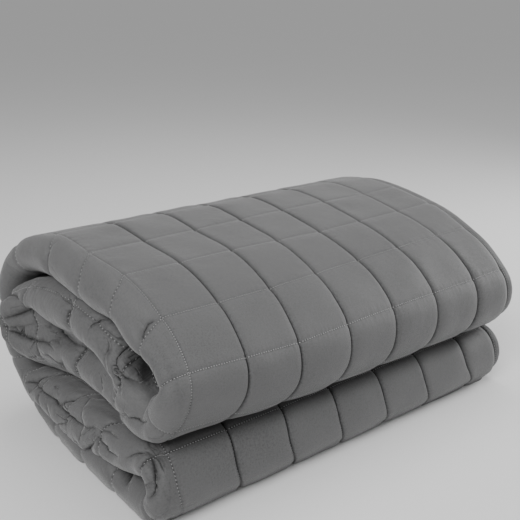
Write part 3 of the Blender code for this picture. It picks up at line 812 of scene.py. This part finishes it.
# ---------------------------------------------------------------- materials
class Nodes:
    """Short calls for a material's nodes."""

    def __init__(self, name):
        self.material = bpy.data.materials.new(name)
        self.material.use_nodes = True
        self.tree = self.material.node_tree
        self.shader = self.tree.nodes["Principled BSDF"]

    def put(self, socket, value):
        if isinstance(value, bpy.types.NodeSocket):
            self.tree.links.new(value, socket)
        else:
            socket.default_value = value

    def new(self, kind, **inputs):
        """A new node, with its inputs by name."""
        node = self.tree.nodes.new(kind)
        for name, value in inputs.items():
            self.put(node.inputs[name], value)
        return node

    def math(self, operation, *values):
        node = self.tree.nodes.new("ShaderNodeMath")
        node.operation = operation
        for socket, value in zip(node.inputs, values):
            self.put(socket, value)
        return node.outputs[0]

    def times(self, a, b):
        return self.math("MULTIPLY", a, b)

    def scaled(self, a, factor, added):
        return self.math("MULTIPLY_ADD", a, factor, added)

    def most(self, a, b):
        return self.math("MAXIMUM", a, b)

    def uv(self):
        node = self.tree.nodes.new("ShaderNodeUVMap")
        node.uv_map = "flat_cloth"
        split = self.new("ShaderNodeSeparateXYZ", Vector=node.outputs[0])
        return split.outputs[0], split.outputs[1]

    def join(self, u, v):
        return self.new("ShaderNodeCombineXYZ", X=u, Y=v).outputs[0]

    def noise(self, u, v, scale_u, scale_v, detail=2.0, roughness=0.5):
        at = self.join(self.times(u, scale_u), self.times(v, scale_v))
        node = self.new("ShaderNodeTexNoise", Scale=1.0, Detail=detail, Roughness=roughness)
        node.noise_dimensions = "2D"
        self.put(node.inputs["Vector"], at)
        return node.outputs[0]

    def place(self):
        return self.new("ShaderNodeTexCoord").outputs["Object"]

    def speckle(self, scale, detail=2.0):
        """Noise through the whole piece, finer with a larger scale."""
        node = self.new("ShaderNodeTexNoise", Vector=self.place(), Scale=scale, Detail=detail)
        return node.outputs[0]

    def seam_distance(self, w, cell):
        """Distance to the nearest seam."""
        turns = self.math("FRACT", self.scaled(w, 1.0 / cell, 0.5))
        off = self.math("ABSOLUTE", self.math("SUBTRACT", turns, 0.5))
        return self.times(off, cell)

    def fall(self, distance, width):
        """1 at a seam, falling to 0 over the width."""
        return self.math("EXPONENT", self.times(distance, -1.0 / width))

    def crease_lines(self, u, v, scale_u, scale_v):
        """Broken lines where facets meet: 1 on a line, 0 away from it."""
        wander = self.scaled(self.noise(u, v, 16.0, 16.0), 0.7, -0.35)
        wander_v = self.scaled(self.noise(v, u, 15.0, 17.0), 0.7, -0.35)
        at = self.join(self.scaled(u, scale_u, wander), self.scaled(v, scale_v, wander_v))
        cells = self.new("ShaderNodeTexVoronoi", Scale=1.0)
        cells.voronoi_dimensions = "2D"
        cells.feature = "DISTANCE_TO_EDGE"
        self.put(cells.inputs["Vector"], at)
        line = self.fall(cells.outputs["Distance"], 0.035)
        broken = self.scaled(self.noise(u, v, 26.0, 26.0), 5.0, -2.3)
        broken.node.use_clamp = True
        return self.times(line, broken)

    def attribute(self, name):
        node = self.tree.nodes.new("ShaderNodeAttribute")
        node.attribute_name = name
        return node.outputs["Fac"]

    def holes(self, w):
        """1 between the stitches along a seam, 0 at their middles."""
        wave = self.math("COSINE", self.times(w, 2 * pi / STITCH_PITCH))
        return self.scaled(wave, -0.5, 0.5)

    def bump(self, height, distance, normal=None):
        node = self.new("ShaderNodeBump", Strength=1.0, Distance=distance, Height=height)
        if normal is not None:
            self.put(node.inputs["Normal"], normal)
        return node.outputs[0]

    def colours(self, factor, stops):
        node = self.tree.nodes.new("ShaderNodeValToRGB")
        ramp = node.color_ramp
        while len(ramp.elements) < len(stops):
            ramp.elements.new(0.5)
        for element, (at, colour) in zip(ramp.elements, stops):
            element.position = at
            element.color = (*colour, 1.0)
        self.put(node.inputs[0], factor)
        return node.outputs[0]

    def finish(self, **inputs):
        """Sets the shader's inputs, named with _ for a space, and gives the material."""
        for name, value in inputs.items():
            self.put(self.shader.inputs[name.replace("_", " ")], value)
        return self.material


def grey(value, tint=1.0):
    return (value, value, value * tint)


def cloth_material():
    nodes = Nodes("quilted_grey_cloth")
    math, times, scaled, most = nodes.math, nodes.times, nodes.scaled, nodes.most
    u, v = nodes.uv()
    to_column = nodes.seam_distance(u, CELL)
    to_row = nodes.seam_distance(v, CELL_LONG)

    # A plain weave of threads at WEAVE_PITCH, with slubs along both threads.
    warp = math("SINE", times(u, 2 * pi / WEAVE_PITCH))
    weft = math("SINE", times(v, 2 * pi / WEAVE_PITCH))
    weave = times(warp, weft)
    slub_u = nodes.noise(u, v, 140.0, 1500.0)
    slub_v = nodes.noise(u, v, 1500.0, 140.0)
    slubs = math("ADD", slub_u, slub_v)

    off_nose = math("ABSOLUTE", math("SUBTRACT", u, FOLD_LINE))
    nose = nodes.attribute("crumpled")

    # Puckers that run off the seams, and soft small wrinkles, stronger on the noses.
    column_pucker = times(nodes.noise(u, v, 22.0, 150.0), nodes.fall(to_column, 0.010))
    row_pucker = times(nodes.noise(u, v, 150.0, 22.0), nodes.fall(to_row, 0.009))
    puckers = math("ADD", column_pucker, row_pucker)
    puckers = times(puckers, scaled(nose, 0.6, 0.4))
    crinkle = nodes.noise(u, v, 55.0, 60.0, detail=3.0)
    crinkle = times(crinkle, scaled(nose, 0.75, 0.25))

    # Sharp creases of the crumpled cloth: broken lines between plane facets, bumped in and
    # darkened with painted shade.
    sharp = times(nodes.crease_lines(u, v, 21.0, 8.0), nose)
    # The listed creases: a thin line of painted shade along each, also bumped in.
    off_crease = math("ABSOLUTE", nodes.attribute("crease_off"))
    laid = times(nodes.fall(off_crease, 1.0), nodes.attribute("crease_shade"))
    normal = nodes.bump(crinkle, 0.0018)
    normal = nodes.bump(times(most(sharp, laid), -1.0), 0.0040, normal)
    normal = nodes.bump(puckers, 0.0032, normal)
    normal = nodes.bump(scaled(slubs, 0.6, times(weave, 0.25)), 0.00022, normal)

    mottle = nodes.noise(u, v, 420.0, 420.0, detail=3.0, roughness=0.6)
    broad = nodes.noise(u, v, 7.0, 7.0, detail=2.0)
    tone = math("ADD", scaled(mottle, 0.55, -0.27), scaled(slubs, 0.25, -0.25))
    tone = math("ADD", tone, scaled(broad, 0.30, 0.35))
    # Painted shade in the narrow grooves that the stitching draws into the cloth: along the
    # columns (weaker where the seams lie slack, none at the seams beside the nose), along the
    # rows (stronger on the nose) and at the hem's inner edge.
    past_first = times(math("SUBTRACT", off_nose, 0.055), 60.0)
    past_first.node.use_clamp = True
    taut = scaled(nodes.attribute("slack"), -0.6, 1.0)
    column_groove_painted_shade = times(nodes.fall(to_column, GROOVE_SHADE_WIDE), times(past_first, taut))
    row_groove_painted_shade = times(nodes.fall(to_row, GROOVE_SHADE_WIDE), scaled(nose, 0.6, 0.15))
    hem_line = math("ABSOLUTE", math("SUBTRACT", off_nose, FOLD_LINE - HEM))
    dark = most(most(column_groove_painted_shade, row_groove_painted_shade), nodes.fall(hem_line, HEM_SHADE_WIDE))
    # Painted shade in the needle holes between the stitches of a row or a column.
    holes_u = times(nodes.holes(u), nodes.fall(to_row, HOLE_WIDE))
    holes_v = times(nodes.holes(v), nodes.fall(to_column, HOLE_WIDE))
    dark = most(dark, times(most(holes_u, holes_v), HOLE_SHADE))
    # Painted shade along the listed creases.
    dark = most(dark, laid)
    # Painted shade on the crumpled nose's broken crease lines.
    dark = most(dark, times(sharp, SHARP_SHADE))
    # All the painted shade is taken off the cloth's tone.
    tone = math("SUBTRACT", tone, times(dark, GROOVE_SHADE))
    colour = nodes.colours(tone, ((0.0, grey(CLOTH_DARK, 1.02)), (0.45, grey(CLOTH_GREY, 1.01)),
                                  (1.0, grey(CLOTH_LIGHT, 1.0))))
    return nodes.finish(Base_Color=colour, Normal=normal, Sheen_Weight=0.22,
                        Roughness=scaled(mottle, 0.16, 0.50),
                        Sheen_Roughness=0.45, Specular_IOR_Level=0.38)


def thread_material():
    nodes = Nodes("quilting_thread")
    fibres = nodes.speckle(900.0)
    colour = nodes.colours(fibres, ((0.3, grey(THREAD_GREY * 0.85)),
                                    (0.7, grey(THREAD_GREY * 1.15))))
    return nodes.finish(Base_Color=colour, Normal=nodes.bump(fibres, 0.0002),
                        Roughness=0.55, Sheen_Weight=0.2)


def tape_material():
    nodes = Nodes("loop_tape")
    split = nodes.new("ShaderNodeSeparateXYZ", Vector=nodes.place())
    ribs = nodes.math("SINE", nodes.times(split.outputs[0], 2 * pi / TAPE_RIB))
    fibres = nodes.speckle(700.0, detail=3.0)
    colour = nodes.colours(fibres, ((0.3, grey(TAPE_DARK, 1.02)), (0.7, grey(TAPE_LIGHT, 1.02))))
    height = nodes.scaled(ribs, 0.4, fibres)
    return nodes.finish(Base_Color=colour, Normal=nodes.bump(height, 0.00025),
                        Roughness=0.6, Sheen_Weight=0.2)


# ---------------------------------------------------------------- stitching
def seam_runs():
    """Runs of stitching on the outer face: rows along u, columns along v, and the hems."""
    for row in range(1, ROWS):
        yield "u", row * CELL_LONG, HEM, STITCHED_TO
    for column in range(1, COLUMNS):
        if column * CELL < STITCHED_TO:
            yield "v", column * CELL, HEM, LENGTH - HEM
    for edge in (HEM_STITCH, WIDTH - HEM_STITCH):
        yield "v", edge, HEM_STITCH, LENGTH - HEM_STITCH
    for edge in (HEM_STITCH, LENGTH - HEM_STITCH):
        yield "u", edge, HEM_STITCH, WIDTH - HEM_STITCH


def stitch_places():
    """Flat places (u, v) of the middles of all stitches, and the end of each."""
    starts, ends = [], []
    for along, at, low, high in seam_runs():
        count = int(round((high - low) / STITCH_PITCH))
        middles = low + (np.arange(count) + 0.5) * (high - low) / count
        fixed = np.full(count, at)
        for places, shift in ((starts, -STITCH_LONG / 2), (ends, STITCH_LONG / 2)):
            pair = (middles + shift, fixed) if along == "u" else (fixed, middles + shift)
            places.append(np.stack(pair, axis=1))
    return np.vstack(starts), np.vstack(ends)


def stitch_template():
    """One stitch, 1 long and 1 thick: a rod with four sides and pointed ends."""
    bm = bmesh.new()
    bmesh.ops.create_uvsphere(bm, u_segments=4, v_segments=3, radius=0.5,
                              matrix=Matrix.Rotation(pi / 2, 4, "Y"))
    for vert in bm.verts:
        if abs(vert.co.x) < 0.4:
            vert.co.x *= 1.3
    return mesh_of(bm, "stitch")


def build_stitches(fold, material):
    starts, ends = stitch_places()
    spots = np.concatenate([starts, ends])
    outer, _, normals, _, _ = blanket_faces(fold, spots[:, 0], spots[:, 1])
    a, b = outer[:len(starts)], outer[len(starts):]
    normal = normals[:len(starts)]
    template = stitch_template()
    bm = bmesh.new()
    for _ in range(len(starts)):
        bm.from_mesh(template)
    mesh = mesh_of(bm, "quilting_stitches")

    def unit(rows):
        return rows / np.maximum(np.linalg.norm(rows, axis=1), 1e-9)[:, None]

    run = unit(b - a)
    side = unit(np.cross(normal, run))
    up = np.cross(run, side)
    shape = np.empty(len(template.vertices) * 3)
    template.vertices.foreach_get("co", shape)
    long, wide, high = shape.reshape(-1, 3).T[:, None, :, None]
    places = ((a + b) / 2 + up * STITCH_PROUD)[:, None, :] \
        + long * STITCH_LONG * run[:, None, :] \
        + (wide * side[:, None, :] + high * up[:, None, :]) * STITCH_THICK
    places[..., 2] = np.maximum(places[..., 2], 0.0)
    mesh.vertices.foreach_set("co", places.ravel())
    mesh.update()
    return link("quilting_stitches", mesh, material)


# ---------------------------------------------------------------- the corner loops
LOOP_FROM_END = 0.012         # from the blanket's end to the middle of the loop
LOOPS = (
    dict(node="corner_loop_1", side_u=0.0, end_v=LOOP_FROM_END),
    dict(node="corner_loop_2", side_u=WIDTH, end_v=LOOP_FROM_END),
    dict(node="corner_loop_3", side_u=0.0, end_v=LENGTH - LOOP_FROM_END),
    dict(node="corner_loop_4", side_u=WIDTH, end_v=LENGTH - LOOP_FROM_END),
)
LOOP_WIDTH, LOOP_TAPE, LOOP_OUT, LOOP_ON = 0.012, 0.0011, 0.016, 0.009
LOOP_BEND, LOOP_GAP = 0.0016, 0.0010
LOOP_STEPS = 6                # lines of the mesh across the tape


def loop_line():
    """Middle line of a folded tape seen from its side: x past the hem, z off the cloth."""
    lift = LOOP_GAP + LOOP_TAPE / 2
    centre = (LOOP_OUT - LOOP_BEND - LOOP_TAPE / 2, lift + LOOP_BEND)
    line = [(x, lift) for x in np.linspace(-LOOP_ON, centre[0], 8)[:-1]]
    for angle in np.radians(np.linspace(-90, 90, 9)):
        line.append((centre[0] + LOOP_BEND * cos(angle), centre[1] + LOOP_BEND * sin(angle)))
    line.extend((x, lift + 2 * LOOP_BEND) for x in np.linspace(centre[0], -LOOP_ON, 8)[1:])
    return line


def build_loop(spec, fold, material):
    """A folded tape with rounded selvedges, laid along its middle line and given thickness."""
    u, v = np.array(spec["side_u"]), np.array(spec["end_v"])
    out = np.array((1.0, 0.0, 0.0))
    normal = fold.normal(u, v)
    normal = normal - out * float(np.dot(normal, out))
    normal /= np.linalg.norm(normal)
    run = np.cross(normal, out)
    base = settled(fold(u, v) + normal * THICK_HEM / 2)
    line = loop_line()
    bm = bmesh.new()
    bmesh.ops.create_grid(bm, x_segments=len(line) - 1, y_segments=LOOP_STEPS, size=0.5)
    for vert in bm.verts:
        x, z = line[round((vert.co.x + 0.5) * (len(line) - 1))]
        side = vert.co.y * LOOP_WIDTH
        vert.co = base + out * x + normal * z + run * side
    name = spec["node"] + "_tape"
    thing = link(name, mesh_of(bm, name), material)
    thick = thing.modifiers.new("thickness", "SOLIDIFY")
    thick.thickness = LOOP_TAPE
    thick.offset = 0.0
    soft = thing.modifiers.new("soft_edges", "BEVEL")
    soft.width = LOOP_TAPE * 0.3
    soft.segments = 2
    soft.limit_method = "ANGLE"
    return thing


# ---------------------------------------------------------------- floor and light
def floor_material():
    nodes = Nodes("studio_floor")
    colour = nodes.colours(nodes.speckle(0.6), ((0.0, grey(FLOOR_GREY * 0.99)),
                                                (1.0, grey(FLOOR_GREY))))
    return nodes.finish(Base_Color=colour, Roughness=0.9, Specular_IOR_Level=0.0)


def build_floor():
    bm = bmesh.new()
    bmesh.ops.create_grid(bm, x_segments=8, y_segments=8, size=FLOOR_HALF)
    floor = link("studio_floor", mesh_of(bm, "studio_floor"), floor_material())


def add_light(name, power, size, at, aim):
    data = bpy.data.lights.new(name, "AREA")
    data.energy = power
    data.shape = "RECTANGLE"
    data.size, data.size_y = size
    light = bpy.data.objects.new(name, data)
    light.location = at
    turn = (Vector(aim) - Vector(at)).to_track_quat("-Z", "Y")
    light.rotation_euler = turn.to_euler()
    bpy.context.scene.collection.objects.link(light)


def light_studio():
    world = bpy.data.worlds.new("studio")
    world.use_nodes = True
    background = world.node_tree.nodes["Background"]
    background.inputs["Color"].default_value = (1.0, 1.0, 1.0, 1.0)
    background.inputs["Strength"].default_value = WORLD_STRENGTH
    bpy.context.scene.world = world
    for light in LIGHTS:
        add_light(**light)


# ---------------------------------------------------------------- everything together
def dress(piece, node_names):
    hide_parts(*node_names)
    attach(piece, "root")


def main():
    fold = Fold()
    cloth = cloth_material()
    thread = thread_material()
    tape = tape_material()
    blanket = build_blanket(fold, cloth)
    dress(blanket, ["blanket"])
    stitches = build_stitches(fold, thread)
    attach(stitches, "root")
    for spec in LOOPS:
        dress(build_loop(spec, fold, tape), [spec["node"]])
    build_floor()
    light_studio()


main()
